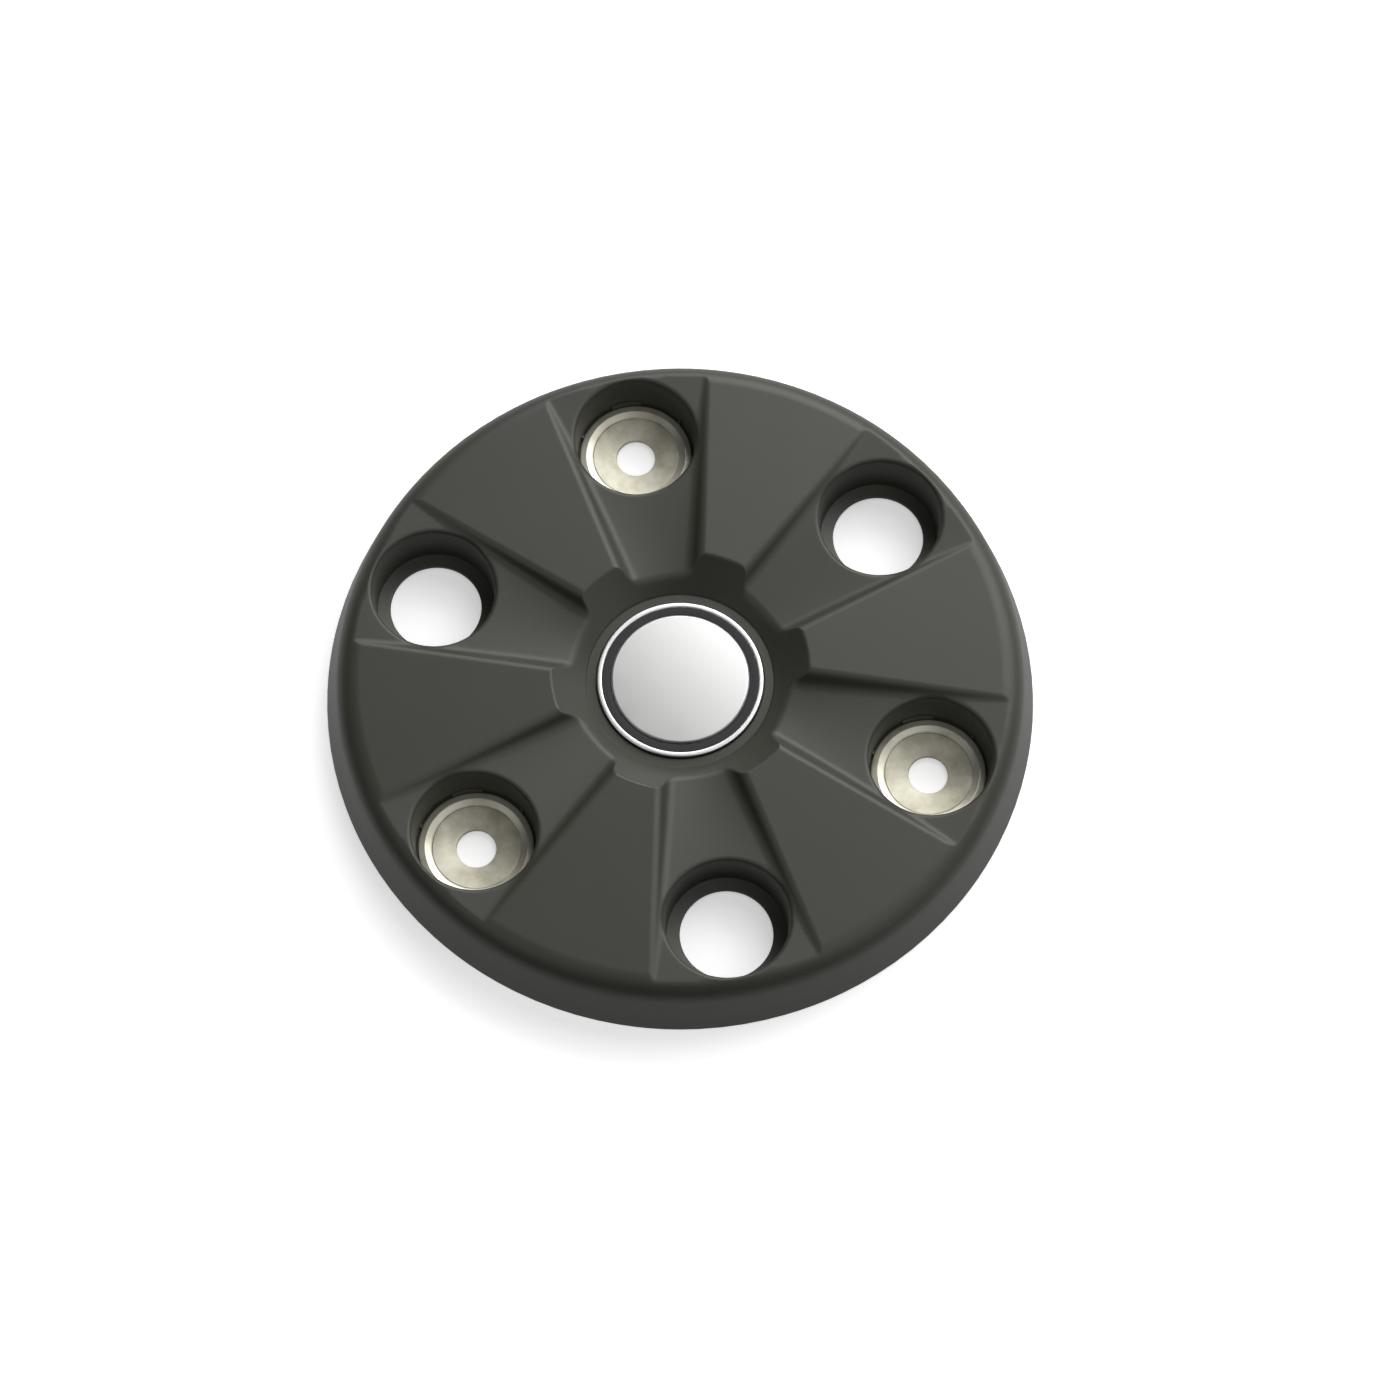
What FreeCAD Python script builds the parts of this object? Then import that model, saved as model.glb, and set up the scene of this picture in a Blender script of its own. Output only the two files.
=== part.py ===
import FreeCAD, Part
import math
import os

Vec = FreeCAD.Vector
UP = Vec(0, 0, 1)
ORIGIN = Vec(0, 0, 0)

# A round cover for a six-stud wheel. Millimetres, with +Z out of the visible face.
# The origin is the middle of the plane that the skirt stands on, and +Y points at the first nut pocket.

# Fit on the wheel
stud_circle = 205.0         # circle through the studs
stud_count = 6
stud_hole_radius = 7.7      # in the steel washers
nut_hole_radius = 17.9      # in the pockets without a washer

# Cover: skirt, top and wall
rim_margin = 35.9           # from the stud circle out to the foot of the skirt
rim_height = 24.3           # top face, at the edge
crown_rise = 0.6            # how much higher the top is at the hub
rim_round = 10.0
skirt_draft = 15.5          # degrees
wall = 2.6

# Hub bowl with the flat land that carries the badge
land_radius = 36.4
land_height = 13.4
land_step = 0.7             # small riser round the land
bowl_width = 13.6           # from the land out to the top face
bowl_round = 2.0            # rounding between the bowl and the top face

# Troughs that run out from the bowl to the rim, one over each stud
trough_mouth = 32.8         # width at the land, between the upper edges
trough_spread = 11.5        # degrees that each side opens outward
trough_depth = 6.3          # below the top face at the land
trough_fade = 0.15          # depth that is left at the rim
edge_round = 4.6            # rounding of the trough's upper edges
foot_round = 5.4            # hollow at the foot of its sides
floor_tilt = 6.5            # degrees that the floor rises towards its sides at the land
run_out = 0.08              # how far the rounded sides run out through the top face
end_round = 1.2             # rounding where the floors run out into the bowl

# Nut pockets
pocket_radius = 23.0        # at the ledge
pocket_draft = 3.0          # degrees
ledge_height = 3.5
ledge_thickness = 1.8

# Steel washers in every second pocket, centred by pads and nibs on the pocket's wall
washer_gap = 0.7            # from the pocket wall to the washer's edge
washer_sheet = 1.5
washer_edge = 0.4           # bevel of the rim's upper edge
washer_flange = 2.7         # width of the rim that lies on the ledge
washer_slope = 2.5          # plan width of the step inside the rim
washer_step = 0.9           # drop of that step
washer_dish = 1.6           # drop of the dished floor, from the step to the stud hole
washer_seat = 2.5           # width of the ledge under the rim
pad_count = 3
pad_width = 12.0
pad_height = 3.2            # above the ledge
pad_gap = 0.1               # from a pad or nib to the washer's edge
nib_width = 1.4

# Badge in its seat in the land
badge_radius = 32.5
badge_gap = 0.4             # round the badge
badge_sink = 1.6            # depth of the seat
badge_thickness = 2.7       # carrier, from its seat to its dark face
ring_width = 2.0
ring_height = 1.7
ring_proud = 0.3            # how far the ring stands above the dark face
ring_bevel = 0.6
disc_radius = 27.0
disc_sink = 0.6             # depth of the disc's seat in the dark face
disc_thickness = 1.6
disc_bevel = 0.6
disc_gap = 0.1              # round the disc

# Snap legs behind the badge and the opening that they reach through
leg_count = 6
leg_radius = 22.0           # outer face of the legs
leg_thickness = 1.8
leg_width = 9.0
leg_gap = 0.3               # from the legs to the edge of the opening
hook_reach = 1.4            # beyond the edge of the opening
hook_height = 2.0
hook_play = 0.1             # between the hooks and the back of the seat

# Stiffening ribs behind
rib_thickness = 1.8
rib_foot = 16.0             # height of the ribs' lower edge
web_foot = 4.0              # lower edge of the short webs between pockets and skirt

# What follows from them
stud_radius = stud_circle / 2
skirt_radius = stud_radius + rim_margin
bowl_radius = land_radius + bowl_width
draft_slope = math.tan(math.radians(skirt_draft))
draft_length = 1 / math.cos(math.radians(skirt_draft))
pocket_slope = math.tan(math.radians(pocket_draft))
spread_slope = math.tan(math.radians(trough_spread))
hub_height = rim_height + crown_rise
rim_edge = skirt_radius - rim_height * draft_slope
ceiling = hub_height + trough_depth
bowl_slope = (hub_height - land_height - land_step) / (bowl_width - land_step / 2)
seat_height = land_height - badge_sink
seat_back = seat_height - wall
washer_radius = pocket_radius - washer_gap
seat_hole_radius = washer_radius - washer_seat
opening_radius = leg_radius + leg_gap
face_height = seat_height + badge_thickness
pocket_angles = [90 - i * 360 / stud_count for i in range(stud_count)]
washer_angles = pocket_angles[0::2]
open_angles = pocket_angles[1::2]
fan_angles = [angle + 180 / stud_count for angle in pocket_angles]


def polar(radius, angle, height=0.0):
    """Point at a radius and an angle in degrees about the Z axis."""
    a = math.radians(angle)
    return Vec(radius * math.cos(a), radius * math.sin(a), height)


def round_corner(before, corner, after, radius):
    """Start, middle and end of the arc that rounds a corner of a profile."""
    back = (before - corner).normalize()
    ahead = (after - corner).normalize()
    half = back.getAngle(ahead) / 2
    bisector = (back + ahead).normalize()
    reach = radius / math.tan(half)
    centre = corner + bisector * (radius / math.sin(half))
    return corner + back * reach, centre - bisector * radius, corner + ahead * reach


def turned(*steps):
    """Solid turned about Z from points (radius, height); a third value rounds that corner."""
    points = [Vec(step[0], 0, step[1]) for step in steps]
    rounding = [step[2] if len(step) > 2 else 0.0 for step in steps]
    edges = []
    last = points[0]
    for i in range(1, len(points)):
        here = points[i]
        if rounding[i]:
            start, middle, end = round_corner(last, here, points[(i + 1) % len(points)], rounding[i])
            edges.append(Part.LineSegment(last, start).toShape())
            edges.append(Part.Arc(start, middle, end).toShape())
            last = end
        else:
            edges.append(Part.LineSegment(last, here).toShape())
            last = here
    edges.append(Part.LineSegment(last, points[0]).toShape())
    return Part.Face(Part.Wire(edges)).revolve(ORIGIN, UP, 360)


def turned_copies(shape, angles):
    """Copies of a shape that lies along +X, turned about the wheel's axis."""
    copies = []
    for angle in angles:
        copy = shape.copy()
        copy.rotate(ORIGIN, UP, angle)
        copies.append(copy)
    return copies


def at_studs(shape, angles):
    """Copies of a shape that stands on the Z axis, moved over the studs with its +X side outward."""
    moved = shape.copy()
    moved.translate(Vec(stud_radius, 0, 0))
    return turned_copies(moved, angles)


def bar(start, end, width, low, high):
    """Upright bar along +X between two distances from the axis."""
    return Part.makeBox(end - start, width, high - low, Vec(start, -width / 2, low))


def skirt_at(height, inset=0.0):
    """Radius of the skirt at a height, or of a face set in from it by a wall."""
    return skirt_radius - height * draft_slope - inset * draft_length


def pocket_at(height):
    """Radius of a pocket's drafted wall at a height."""
    return pocket_radius + (height - ledge_height) * pocket_slope


def cover_blank():
    """Outer form of the cover before its troughs and pockets are cut."""
    return turned(
        (0, 0),
        (skirt_radius, 0),
        (rim_edge, rim_height, rim_round),
        (bowl_radius, hub_height, bowl_round),
        (land_radius + land_step / 2, land_height + land_step),
        (land_radius, land_height),
        (0, land_height),
    )


def hollow_blank():
    """Space behind the cover, one wall inside the outer form and open below."""
    bowl_shift = wall * math.hypot(1, bowl_slope) / bowl_slope
    top_back = hub_height - wall
    rim_back = rim_height - wall
    top_radius = bowl_radius + bowl_shift - wall / bowl_slope
    foot_radius = top_radius - (top_back - seat_back) / bowl_slope
    bevel = (rim_round - wall) / 2
    return turned(
        (0, -wall),
        (skirt_at(-wall, wall), -wall),
        (skirt_at(rim_back - bevel, wall), rim_back - bevel),
        (skirt_at(rim_back, wall) - bevel, rim_back),
        (top_radius, top_back),
        (foot_radius, seat_back),
        (0, seat_back),
    )


def trough_sizes(radial):
    """Half width at the top, floor height and depth of a trough at a distance from the axis."""
    share = (radial - land_radius) / (rim_edge - land_radius)
    depth = trough_depth + (trough_fade - trough_depth) * share
    floor = hub_height - crown_rise * share - depth
    half = trough_mouth / 2 + (radial - land_radius) * spread_slope
    return half, floor, depth


def floor_turn(depth):
    """Angle in radians at which a trough's floor meets its sides."""
    return math.radians(floor_tilt * depth / trough_depth)


def foot_sizes(radial):
    """Half width of a trough's floor, and the angle in radians at which its sides are steepest."""
    half, floor, depth = trough_sizes(radial)
    tilt = floor_turn(depth)
    steep = math.acos((edge_round + foot_round * math.cos(tilt) - depth - run_out) / (edge_round + foot_round))
    foot = half - edge_round * math.sin(steep) - foot_round * (math.sin(steep) - math.sin(tilt))
    return foot, steep


def arc_poles(start, first_turn, last_turn, radius):
    """Poles of an arc in a cross-section that leaves its start at one angle and ends at another."""
    bend = math.copysign(radius, last_turn - first_turn)
    end = start[0] + bend * (math.sin(last_turn) - math.sin(first_turn)), \
        start[1] + bend * (math.cos(first_turn) - math.cos(last_turn))
    reach = radius * 4 / 3 * math.tan(abs(last_turn - first_turn) / 4)
    leave = start[0] + reach * math.cos(first_turn), start[1] + reach * math.sin(first_turn)
    arrive = end[0] - reach * math.cos(last_turn), end[1] - reach * math.sin(last_turn)
    return [start, leave, arrive, end]


def trough_section(radial):
    """Closed cross-section of a trough at a distance from the axis.

    The floor is a shallow parabola. Each side leaves it smoothly in a hollow arc and turns over in a
    rounding that runs out through the top face.
    """
    half, floor, depth = trough_sizes(radial)
    foot, steep = foot_sizes(radial)
    tilt = floor_turn(depth)
    hollow = arc_poles((foot, floor), tilt, steep, foot_round)
    rounding = arc_poles(hollow[-1], steep, 0, edge_round)
    top = rounding[-1]

    def curve(poles):
        bezier = Part.BezierCurve()
        bezier.setPoles([Vec(radial, side, height) for side, height in poles])
        return bezier.toShape()

    def mirrored(poles):
        return [(-side, height) for side, height in reversed(poles)]

    def line(start, end):
        return Part.LineSegment(Vec(radial, *start), Vec(radial, *end)).toShape()

    return Part.Wire([
        line((-top[0], ceiling), (-top[0], top[1])),
        curve(mirrored(rounding)),
        curve(mirrored(hollow)),
        curve([(-foot, floor), (0, floor - foot * math.tan(tilt)), (foot, floor)]),
        curve(hollow),
        curve(rounding),
        line(top, (top[0], ceiling)),
        line((top[0], ceiling), (-top[0], ceiling)),
    ])


def trough_back_section(radial):
    """Plain cross-section one wall behind a trough, with flat sides."""
    half, floor, depth = trough_sizes(radial)
    foot = foot_sizes(radial)[0]
    low_side = foot + wall / 2
    high_side = half + wall
    low = floor - foot * math.tan(floor_turn(depth)) / 2 - wall
    high = floor + depth - wall / 2
    corners = [(-high_side, ceiling), (-high_side, high), (-low_side, low)]
    corners += [(low_side, low), (high_side, high), (high_side, ceiling)]
    return Part.makePolygon([Vec(radial, *corner) for corner in corners + corners[:1]])


def along_trough(section, stations, ruled):
    """Solid along +X through sections from the land out to the rim."""
    step = (rim_edge - badge_radius) / (stations - 1)
    return Part.makeLoft([section(badge_radius + i * step) for i in range(stations)], True, ruled)


def trough_end_edges(body):
    """Edges where the trough floors run out into the bowl; the rounding follows them up both sides."""
    ends = []
    for edge in body.Edges:
        middle = edge.valueAt((edge.FirstParameter + edge.LastParameter) / 2)
        radius = math.hypot(middle.x, middle.y)
        in_bowl = land_radius + land_step < radius < bowl_radius
        low = land_height + 2 * land_step < middle.z < hub_height - trough_depth / 2
        level = abs(edge.Vertexes[0].Z - edge.Vertexes[-1].Z) < land_step
        if in_bowl and low and level:
            ends.append(edge)
    return ends


def pocket_cutter():
    """Drafted nut pocket above its ledge."""
    return turned((0, ledge_height), (pocket_radius, ledge_height), (pocket_at(ceiling), ceiling), (0, ceiling))


def pocket_tube():
    """Outside of the pocket's wall and floor."""
    foot = ledge_height - ledge_thickness
    return turned((0, foot), (pocket_at(foot) + wall, foot), (pocket_at(ceiling) + wall, ceiling), (0, ceiling))


def centring_pads():
    """Pads and nibs on a pocket's wall that centre the washer, about the stud's axis."""
    inner = washer_radius + pad_gap
    outer = pocket_at(ledge_height + pad_height) + wall / 2
    band = Part.makeCylinder(outer, pad_height, Vec(0, 0, ledge_height))
    band = band.cut(Part.makeCylinder(inner, pad_height, Vec(0, 0, ledge_height)))
    step = 360 / pad_count
    pads = turned_copies(bar(0, outer, pad_width, 0, ceiling), [i * step for i in range(pad_count)])
    nibs = turned_copies(bar(0, outer, nib_width, 0, ceiling), [(i + 0.5) * step for i in range(pad_count)])
    return band.common(Part.makeCompound(pads + nibs))


def rear_ribs():
    """Radial ribs behind the fans, and short webs from the pockets to the skirt."""
    reach = skirt_at(0)
    ribs = turned_copies(bar(opening_radius, reach, rib_thickness, rib_foot, ceiling), fan_angles)
    webs = turned_copies(bar(stud_radius, reach, rib_thickness, web_foot, ceiling), pocket_angles)
    return ribs + webs


def build_shell():
    troughs = turned_copies(along_trough(trough_section, 5, False), pocket_angles)
    body = cover_blank().cut(troughs)
    body = body.makeFillet(end_round, trough_end_edges(body))
    body = body.cut(at_studs(pocket_cutter(), pocket_angles))

    trough_backs = turned_copies(along_trough(trough_back_section, 2, True), pocket_angles)
    hollow = hollow_blank().cut(trough_backs + at_studs(pocket_tube(), pocket_angles) + rear_ribs())
    body = body.cut(hollow)

    badge_seat = Part.makeCylinder(badge_radius + badge_gap, land_height, Vec(0, 0, seat_height))
    opening = Part.makeCylinder(opening_radius, land_height)
    nut_hole = Part.makeCylinder(nut_hole_radius, ceiling)
    washer_hole = Part.makeCylinder(seat_hole_radius, ceiling)
    body = body.cut([badge_seat, opening] + at_studs(nut_hole, open_angles) + at_studs(washer_hole, washer_angles))
    return body.fuse(at_studs(centring_pads(), washer_angles))


def build_washer():
    """Dished washer of even sheet: a rim on the ledge, a step down and a shallow dish to the stud hole."""
    rim_top = ledge_height + washer_sheet
    rim_inner = washer_radius - washer_flange
    step_inner = rim_inner - washer_slope
    step_top = rim_top - washer_step
    hole_top = step_top - washer_dish
    return turned(
        (stud_hole_radius, hole_top - washer_sheet),
        (step_inner, step_top - washer_sheet),
        (rim_inner, ledge_height),
        (washer_radius, ledge_height),
        (washer_radius, rim_top - washer_edge),
        (washer_radius - washer_edge, rim_top),
        (rim_inner, rim_top),
        (step_inner, step_top),
        (stud_hole_radius, hole_top),
    )


def build_badge_base():
    """Dark carrier with a rebate for the ring, a seat for the disc and snap legs behind."""
    rebate = face_height + ring_proud - ring_height
    ring_inner = badge_radius - ring_width
    disc_seat = face_height - disc_sink
    seat_radius = disc_radius + disc_gap
    plate = turned(
        (0, seat_height),
        (badge_radius, seat_height),
        (badge_radius, rebate),
        (ring_inner, rebate),
        (ring_inner, face_height),
        (seat_radius, face_height),
        (seat_radius, disc_seat),
        (0, disc_seat),
    )
    hook_top = seat_back - hook_play
    hook_foot = hook_top - hook_height
    leg_inner = leg_radius - leg_thickness
    legs = turned(
        (leg_inner, seat_height),
        (leg_inner, hook_foot),
        (leg_radius, hook_foot),
        (opening_radius + hook_reach, hook_top),
        (leg_radius, hook_top),
        (leg_radius, seat_height),
    )
    spokes = turned_copies(bar(0, badge_radius, leg_width, 0, seat_height), [i * 360 / leg_count for i in range(leg_count)])
    return plate.fuse(legs.common(Part.makeCompound(spokes)))


def build_badge_ring():
    """Bright ring in the carrier's rebate, bevelled on top."""
    top = face_height + ring_proud
    inner = badge_radius - ring_width
    return turned(
        (inner, top - ring_height),
        (badge_radius, top - ring_height),
        (badge_radius, top - ring_bevel),
        (badge_radius - ring_bevel, top),
        (inner + ring_bevel, top),
        (inner, top - ring_bevel),
    )


def build_badge_disc():
    """Plain bright disc with a bevelled edge."""
    seat = face_height - disc_sink
    top = seat + disc_thickness
    return turned(
        (0, seat),
        (disc_radius, seat),
        (disc_radius, top - disc_bevel),
        (disc_radius - disc_bevel, top),
        (0, top),
    )


def save(name, shape):
    """Write one clean solid to its own file."""
    solid = shape.removeSplitter().Solids[0]
    solid.exportStep("parts/" + name + ".step")
    print(name, "valid", solid.isValid(), "solids", len(shape.Solids), "volume %.0f mm3" % solid.Volume)


os.makedirs("parts", exist_ok=True)
save("cap_shell", build_shell())
for number, washer in enumerate(at_studs(build_washer(), washer_angles), start=1):
    save("cup_washer_%d" % number, washer)
save("badge_base", build_badge_base())
save("badge_ring", build_badge_ring())
save("badge_disc", build_badge_disc())
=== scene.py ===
# %% [markdown]
# A wheel center cap in its studio.
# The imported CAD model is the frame: it says where every piece sits and how large it is.
# Each piece is made again here with soft edges and finishes, in the place of its CAD solid.
# All sizes below are millimetres, and only the last step of making a mesh turns them into metres.

# %% Load the frame
import bisect
import math

import bmesh
import bpy
from mathutils import Matrix, Vector
from mathutils.geometry import delaunay_2d_cdt


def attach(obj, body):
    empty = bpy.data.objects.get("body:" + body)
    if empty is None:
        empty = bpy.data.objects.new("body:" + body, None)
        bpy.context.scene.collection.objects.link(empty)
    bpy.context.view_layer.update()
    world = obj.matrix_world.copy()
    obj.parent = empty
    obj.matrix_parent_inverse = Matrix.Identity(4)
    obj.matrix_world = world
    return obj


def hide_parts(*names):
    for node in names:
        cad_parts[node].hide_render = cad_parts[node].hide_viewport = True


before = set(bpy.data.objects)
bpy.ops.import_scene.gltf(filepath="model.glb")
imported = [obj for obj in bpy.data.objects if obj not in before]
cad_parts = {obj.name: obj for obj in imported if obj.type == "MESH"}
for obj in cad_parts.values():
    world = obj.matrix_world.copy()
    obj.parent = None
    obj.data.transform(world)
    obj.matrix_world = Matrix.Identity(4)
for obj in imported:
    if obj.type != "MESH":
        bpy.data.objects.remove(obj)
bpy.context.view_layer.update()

MM = 0.001
print("CAD nodes:", ", ".join(sorted(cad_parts)))

# %% [markdown]
# Most of the cap is turned: the cover's own section, the washers and the badge are all round.
# A turned piece starts as a list of corners (radius, height), and a third number rounds that corner.
# The list could go to a Screw modifier, but a short function gives control over each chord,
# and the cover needs the same rounded list as a plain height over the radius.

# %% Rounded outlines and turned meshes


def rounded(corners, chord_degrees=9.0):
    """Points along an outline of (radius, height) corners; a third number rounds that corner."""
    line = []
    for i, corner in enumerate(corners):
        here = Vector(corner[:2])
        if len(corner) == 2:
            line.append(here)
            continue
        back = (Vector(corners[i - 1][:2]) - here).normalized()
        ahead = (Vector(corners[(i + 1) % len(corners)][:2]) - here).normalized()
        half = back.angle(ahead) / 2
        centre = here + (back + ahead).normalized() * (corner[2] / math.sin(half))
        spoke = here + back * (corner[2] / math.tan(half)) - centre
        turn = math.copysign(math.pi - 2 * half, back.cross(ahead))
        chords = max(2, math.ceil(math.degrees(abs(turn)) / chord_degrees))
        for k in range(chords + 1):
            line.append(centre + Matrix.Rotation(-turn * k / chords, 2) @ spoke)
    return line


class Skin:
    """Points and faces of a mesh that is still being built, in millimetres."""

    def __init__(self):
        self.points = []
        self.faces = []

    def add(self, points):
        """Add points and give their numbers."""
        start = len(self.points)
        self.points.extend(points)
        return list(range(start, len(self.points)))

    def band(self, first, second, closed):
        """Four-sided faces between two rows with as many points each."""
        count = len(first)
        for k in range(count if closed else count - 1):
            n = (k + 1) % count
            self.faces.append((first[k], first[n], second[n], second[k]))

    def stitch(self, first, second):
        """Triangles between two open rows with different spacing, both in order of their angle."""
        def angle(number):
            return math.atan2(self.points[number][1], self.points[number][0])
        i = 0
        j = 0
        while i < len(first) - 1 or j < len(second) - 1:
            at_end = j == len(second) - 1
            if at_end or (i < len(first) - 1 and angle(first[i + 1]) < angle(second[j + 1])):
                self.faces.append((first[i], first[i + 1], second[j]))
                i += 1
            else:
                self.faces.append((first[i], second[j + 1], second[j]))
                j += 1


def new_object(name, skin):
    """Mesh object at the origin, in metres."""
    mesh = bpy.data.meshes.new(name)
    mesh.from_pydata([(x * MM, y * MM, z * MM) for x, y, z in skin.points], [], skin.faces)
    made = bpy.data.objects.new(name, mesh)
    bpy.context.scene.collection.objects.link(made)
    return made


MERGE_DISTANCE = 0.002
SPECK_LENGTH = 0.0005


def close_and_smooth(made, crease_degrees=38.0):
    """Merge doubles, turn all faces outward and smooth all but the sharp edges."""
    work = bmesh.new()
    work.from_mesh(made.data)
    bmesh.ops.remove_doubles(work, verts=work.verts, dist=MERGE_DISTANCE * MM)
    bmesh.ops.dissolve_degenerate(work, edges=work.edges, dist=SPECK_LENGTH * MM)
    bmesh.ops.recalc_face_normals(work, faces=work.faces)
    open_edges = sum(1 for edge in work.edges if not edge.is_manifold)
    work.to_mesh(made.data)
    work.free()
    made.data.shade_smooth()
    made.data.set_sharp_from_angle(angle=math.radians(crease_degrees))
    print(made.name, len(made.data.polygons), "faces,", open_edges, "open edges")
    return made


def turned(name, outline, steps=144):
    """Closed outline of (radius, height) points, turned about the Z axis."""
    skin = Skin()
    rows = []
    for radius, height in outline:
        turns = [2 * math.pi * k / steps for k in range(steps)]
        rows.append(skin.add([(radius * math.cos(a), radius * math.sin(a), height) for a in turns]))
    for first, second in zip(rows, rows[1:] + rows[:1]):
        skin.band(first, second, True)
    return close_and_smooth(new_object(name, skin))


# %% [markdown]
# The moulded cover is the main piece: a dark round shell with a skirt, a hub bowl, six troughs that fan out
# from the bowl, and a deep nut pocket at the end of each trough.
# Seen from the front it never folds under itself, so its face is a height over the plan.
# The turned section and the trough are two heights, and the lower one wins. A trough has a hollow floor, and
# each of its sides is two arcs, which make the thin light lines along the mould's edges. A soft minimum
# rounds only the trough's ends, at the bowl and at the rim.

# %% Height of the cover's face
STUD_COUNT = 6
STUD_RADIUS = 102.5
SKIRT_RADIUS = 138.4
RIM_HEIGHT = 24.3
CROWN_RISE = 0.6
RIM_ROUND = 10.0
SKIRT_DRAFT = math.tan(math.radians(15.5))
SKIRT_FOOT_ROUND = 0.4
WALL = 2.6
LAND_RADIUS = 36.4
LAND_HEIGHT = 13.4
LAND_STEP = 0.7
LAND_FOOT_ROUND = 0.25
LAND_EDGE_ROUND = 0.5
BOWL_RADIUS = 50.0
BOWL_ROUND = 2.0
SEAT_RADIUS = 32.9
SEAT_HEIGHT = 11.8
SEAT_EDGE = 0.15
OPENING_RADIUS = 22.3
OPENING_EDGE = 0.2
OPENING_FOOT = 0.3

TROUGH_MOUTH = 32.8
TROUGH_SPREAD = math.tan(math.radians(11.5))
TROUGH_DEPTH = 6.3
TROUGH_FADE = 0.15
EDGE_ROUND = 4.6            # rounding of the trough's upper edges
FOOT_ROUND = 5.4            # hollow at the foot of its sides
FLOOR_TILT = 6.5            # degrees that the floor rises towards its sides at the hub
END_SOFTNESS = 0.22         # share of the depth over which a trough is rounded off at the bowl and the rim
LEAST_DEPTH = 0.02

HUB_HEIGHT = RIM_HEIGHT + CROWN_RISE
RIM_EDGE = SKIRT_RADIUS - RIM_HEIGHT * SKIRT_DRAFT

face_section = rounded([
    (SEAT_RADIUS + SEAT_EDGE, LAND_HEIGHT),
    (LAND_RADIUS, LAND_HEIGHT, LAND_FOOT_ROUND),
    (LAND_RADIUS + LAND_STEP / 2, LAND_HEIGHT + LAND_STEP, LAND_EDGE_ROUND),
    (BOWL_RADIUS, HUB_HEIGHT, BOWL_ROUND),
    (RIM_EDGE, RIM_HEIGHT, RIM_ROUND),
    (SKIRT_RADIUS, 0, SKIRT_FOOT_ROUND),
    (0, 0),
], chord_degrees=5.0)
widest = max(range(len(face_section)), key=lambda k: face_section[k].x)
face_section = face_section[:widest + 1]


def along(section, radius):
    """Height of a section at a radius, straight between its points."""
    place = bisect.bisect_left(section, radius, key=lambda p: p.x)
    place = min(max(place, 1), len(section) - 1)
    a = section[place - 1]
    b = section[place]
    return a.y + (b.y - a.y) * (radius - a.x) / max(b.x - a.x, 1e-6)


def crown_height(radius):
    """Height of the top face, a very flat cone."""
    return HUB_HEIGHT - CROWN_RISE * (radius - BOWL_RADIUS) / (RIM_EDGE - BOWL_RADIUS)


def trough_sizes(radial):
    """Half width at the top, depth, floor tilt, steepest angle and half floor width of a trough."""
    share = (radial - LAND_RADIUS) / (RIM_EDGE - LAND_RADIUS)
    depth = max(TROUGH_DEPTH + (TROUGH_FADE - TROUGH_DEPTH) * share, LEAST_DEPTH)
    half = TROUGH_MOUTH / 2 + (radial - LAND_RADIUS) * TROUGH_SPREAD
    tilt = math.radians(FLOOR_TILT * depth / TROUGH_DEPTH)
    steep = math.acos((EDGE_ROUND + FOOT_ROUND * math.cos(tilt) - depth) / (EDGE_ROUND + FOOT_ROUND))
    foot = half - (EDGE_ROUND + FOOT_ROUND) * math.sin(steep) + FOOT_ROUND * math.sin(tilt)
    return half, depth, tilt, steep, foot


def trough_drop(radial, side):
    """How far a trough lies below the top face: a parabola for the floor, and two arcs for each side."""
    half, depth, tilt, steep, foot = trough_sizes(radial)
    side = abs(side)
    if side >= half:
        return 0.0
    if side < foot:
        return depth + foot * math.tan(tilt) / 2 * (1 - (side / foot) ** 2)
    if half - side < EDGE_ROUND * math.sin(steep):
        return EDGE_ROUND - math.sqrt(EDGE_ROUND ** 2 - (half - side) ** 2)
    reach = side - foot + FOOT_ROUND * math.sin(tilt)
    return depth - FOOT_ROUND * math.cos(tilt) + math.sqrt(FOOT_ROUND ** 2 - reach ** 2)


def soft_minimum(a, b, softness):
    """The lower of two heights, with the edge between them rounded."""
    near = max(softness - abs(a - b), 0) / softness
    return min(a, b) - near * near * softness / 4


def face_height(x, y):
    """Height of the cover's face, pockets apart, in a sector whose trough runs along +X."""
    radius = math.hypot(x, y)
    plain = along(face_section, radius)
    drop = trough_drop(x, y)
    if drop < LEAST_DEPTH / 10:
        return plain
    return soft_minimum(plain, crown_height(radius) - drop, END_SOFTNESS * drop)


print("face at the hub %.1f, in a trough %.1f, at the rim %.1f mm" % (
    face_height(60, 30), face_height(60, 0), face_height(120, 60)))

# %% [markdown]
# Behind, the wall has nearly the same thickness all over, with a tube round each pocket, a rib behind each
# fan and a short web from each pocket to the skirt. Seen from below it is a height over the plan as well.

# %% Height of the cover's back
RIB_FOOT = 16.0
WEB_FOOT = 4.0
RIB_HALF = 0.9
RIB_SLOPE = 0.07
BACK_ROUND = 1.0
RIM_BACK_ROUND = 1.5
SECTOR = math.radians(360 / STUD_COUNT)

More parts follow.
